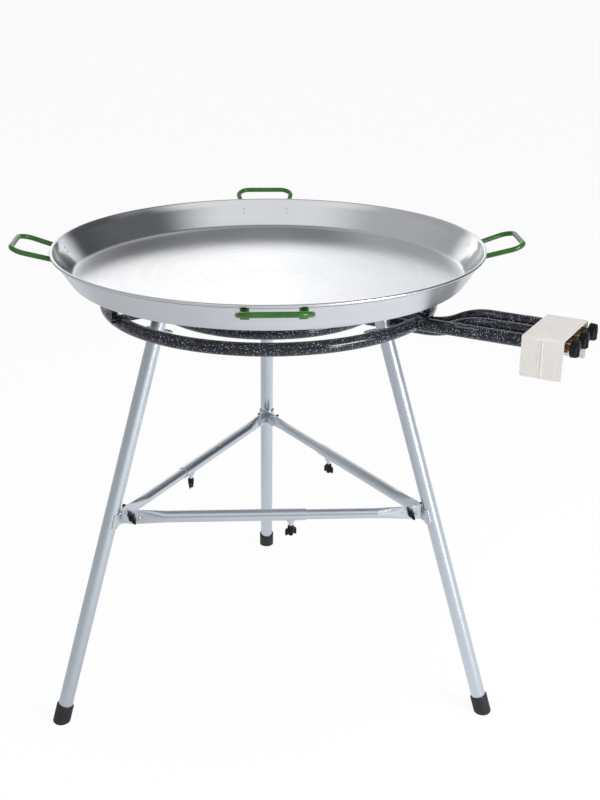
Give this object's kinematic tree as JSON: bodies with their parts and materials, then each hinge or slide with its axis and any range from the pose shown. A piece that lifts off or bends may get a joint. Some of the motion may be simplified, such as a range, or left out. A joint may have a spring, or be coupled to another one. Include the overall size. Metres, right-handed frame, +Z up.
{
  "type": "paella burner",
  "caption": "Ring gas burner for paella on a splayed tripod with telescoping braces, hairpin-clipped legs, fluted tap knobs and a wide lift-off pan with rod handles.",
  "frame": {"origin": "on the floor, under the middle of the burner rings", "axes": "+Z up; +X to the right, the side that the tap cover is on; +Y away from the front, towards the back leg"},
  "size_m": [1.1528, 1.0623, 0.9827],
  "materials": {
    "pan_steel": "polished sheet with fine round brush marks",
    "handle_green": "thick gloss coating",
    "enamel": "vitreous enamel, dark with fine white speckles",
    "zinc": "zinc plated, soft satin",
    "rubber": "moulded, matt",
    "bright_steel": "bright drawn",
    "black_plastic": "moulded, low gloss",
    "cream_paint": "smooth baked paint",
    "dark_steel": "plain mill steel",
    "brass": "turned, slightly dulled"
  },
  "bodies": {
    "stand": {"outer_ring": "enamel", "middle_ring": "enamel", "inner_ring": "enamel", "feed_tube_outer": "enamel", "feed_tube_middle": "enamel", "feed_tube_inner": "enamel", "support_arm_left": "enamel", "support_arm_right": "enamel", "support_arm_back": "enamel", "leg_pegs": "enamel", "leg_left": "zinc", "leg_right": "zinc", "leg_back": "zinc", "foot_left": "rubber", "foot_right": "rubber", "foot_back": "rubber", "bracket_left": "zinc", "bracket_right": "zinc", "bracket_back": "zinc", "brace_outer_front": "zinc", "brace_outer_right": "zinc", "brace_outer_left": "zinc", "brace_bolts": "bright_steel", "tap_cover": "cream_paint", "gas_bar": "dark_steel", "gas_taps": "brass", "injectors": "brass", "tube_plate": "dark_steel", "hose_tail": "brass"},
    "pan": {"pan_body": "pan_steel", "handle_front": "handle_green", "handle_right": "handle_green", "handle_back": "handle_green", "handle_left": "handle_green"},
    "tap_outer": {"knob_outer": "black_plastic", "spindle_outer": "bright_steel"},
    "tap_middle": {"knob_middle": "black_plastic", "spindle_middle": "bright_steel"},
    "tap_inner": {"knob_inner": "black_plastic", "spindle_inner": "bright_steel"},
    "clip_left": {"clip_left": "bright_steel"},
    "clip_right": {"clip_right": "bright_steel"},
    "clip_back": {"clip_back": "bright_steel"},
    "wing_front_a": {"wing_nut_front_a": "black_plastic"},
    "wing_front_b": {"wing_nut_front_b": "black_plastic"},
    "clamp_front": {"clamp_knob_front": "black_plastic", "clamp_screw_front": "bright_steel"},
    "strut_front": {"brace_inner_front": "zinc"},
    "wing_right_a": {"wing_nut_right_a": "black_plastic"},
    "wing_right_b": {"wing_nut_right_b": "black_plastic"},
    "clamp_right": {"clamp_knob_right": "black_plastic", "clamp_screw_right": "bright_steel"},
    "strut_right": {"brace_inner_right": "zinc"},
    "wing_left_a": {"wing_nut_left_a": "black_plastic"},
    "wing_left_b": {"wing_nut_left_b": "black_plastic"},
    "clamp_left": {"clamp_knob_left": "black_plastic", "clamp_screw_left": "bright_steel"},
    "strut_left": {"brace_inner_left": "zinc"}
  },
  "joints": [
    {"name": "pan_lift", "type": "slide", "parent": "stand", "child": "pan", "axis": [0, 0, 1], "range_m": [0, 0.3]},
    {"name": "tap_outer_turn", "type": "hinge", "parent": "stand", "child": "tap_outer", "pos_m": [0.54806, -0.34595, 0.855], "axis": [0.8554, -0.518, 0], "range_deg": [0, 180]},
    {"name": "tap_middle_turn", "type": "hinge", "parent": "stand", "child": "tap_middle", "pos_m": [0.5781, -0.29634, 0.855], "axis": [0.8554, -0.518, 0], "range_deg": [0, 180]},
    {"name": "tap_inner_turn", "type": "hinge", "parent": "stand", "child": "tap_inner", "pos_m": [0.60815, -0.24672, 0.855], "axis": [0.8554, -0.518, 0], "range_deg": [0, 180]},
    {"name": "clip_left_pull", "type": "slide", "parent": "stand", "child": "clip_left", "axis": [0.8264, 0.4771, -0.299], "range_m": [0, 0.045]},
    {"name": "clip_right_pull", "type": "slide", "parent": "stand", "child": "clip_right", "axis": [-0.8264, 0.4771, -0.299], "range_m": [0, 0.045]},
    {"name": "clip_back_pull", "type": "slide", "parent": "stand", "child": "clip_back", "axis": [0, -0.9542, -0.299], "range_m": [0, 0.045]},
    {"name": "wing_front_a_spin", "type": "hinge", "parent": "stand", "child": "wing_front_a", "pos_m": [-0.28894, -0.18485, 0.441], "axis": [0, -1, 0], "continuous": true},
    {"name": "wing_front_b_spin", "type": "hinge", "parent": "stand", "child": "wing_front_b", "pos_m": [0.28894, -0.18485, 0.441], "axis": [0, -1, 0], "continuous": true},
    {"name": "clamp_front_turn", "type": "hinge", "parent": "stand", "child": "clamp_front", "pos_m": [0.039, -0.183, 0.411], "axis": [0, 0, 1], "range_deg": [0, 360]},
    {"name": "strut_front_slide", "type": "slide", "parent": "stand", "child": "strut_front", "axis": [-1, 0, 0], "range_m": [0, 0.12]},
    {"name": "wing_right_a_spin", "type": "hinge", "parent": "stand", "child": "wing_right_a", "pos_m": [0.30455, -0.15781, 0.441], "axis": [0.866, 0.5, 0], "continuous": true},
    {"name": "wing_right_b_spin", "type": "hinge", "parent": "stand", "child": "wing_right_b", "pos_m": [0.01561, 0.34265, 0.441], "axis": [0.866, 0.5, 0], "continuous": true},
    {"name": "clamp_right_turn", "type": "hinge", "parent": "stand", "child": "clamp_right", "pos_m": [0.13898, 0.12527, 0.411], "axis": [0, 0, 1], "range_deg": [0, 360]},
    {"name": "strut_right_slide", "type": "slide", "parent": "stand", "child": "strut_right", "axis": [0.5, -0.866, 0], "range_m": [0, 0.12]},
    {"name": "wing_left_a_spin", "type": "hinge", "parent": "stand", "child": "wing_left_a", "pos_m": [-0.01561, 0.34265, 0.441], "axis": [-0.866, 0.5, 0], "continuous": true},
    {"name": "wing_left_b_spin", "type": "hinge", "parent": "stand", "child": "wing_left_b", "pos_m": [-0.30455, -0.15781, 0.441], "axis": [-0.866, 0.5, 0], "continuous": true},
    {"name": "clamp_left_turn", "type": "hinge", "parent": "stand", "child": "clamp_left", "pos_m": [-0.17798, 0.05772, 0.411], "axis": [0, 0, 1], "range_deg": [0, 360]},
    {"name": "strut_left_slide", "type": "slide", "parent": "stand", "child": "strut_left", "axis": [0.5, 0.866, 0], "range_m": [0, 0.12]}
  ]
}
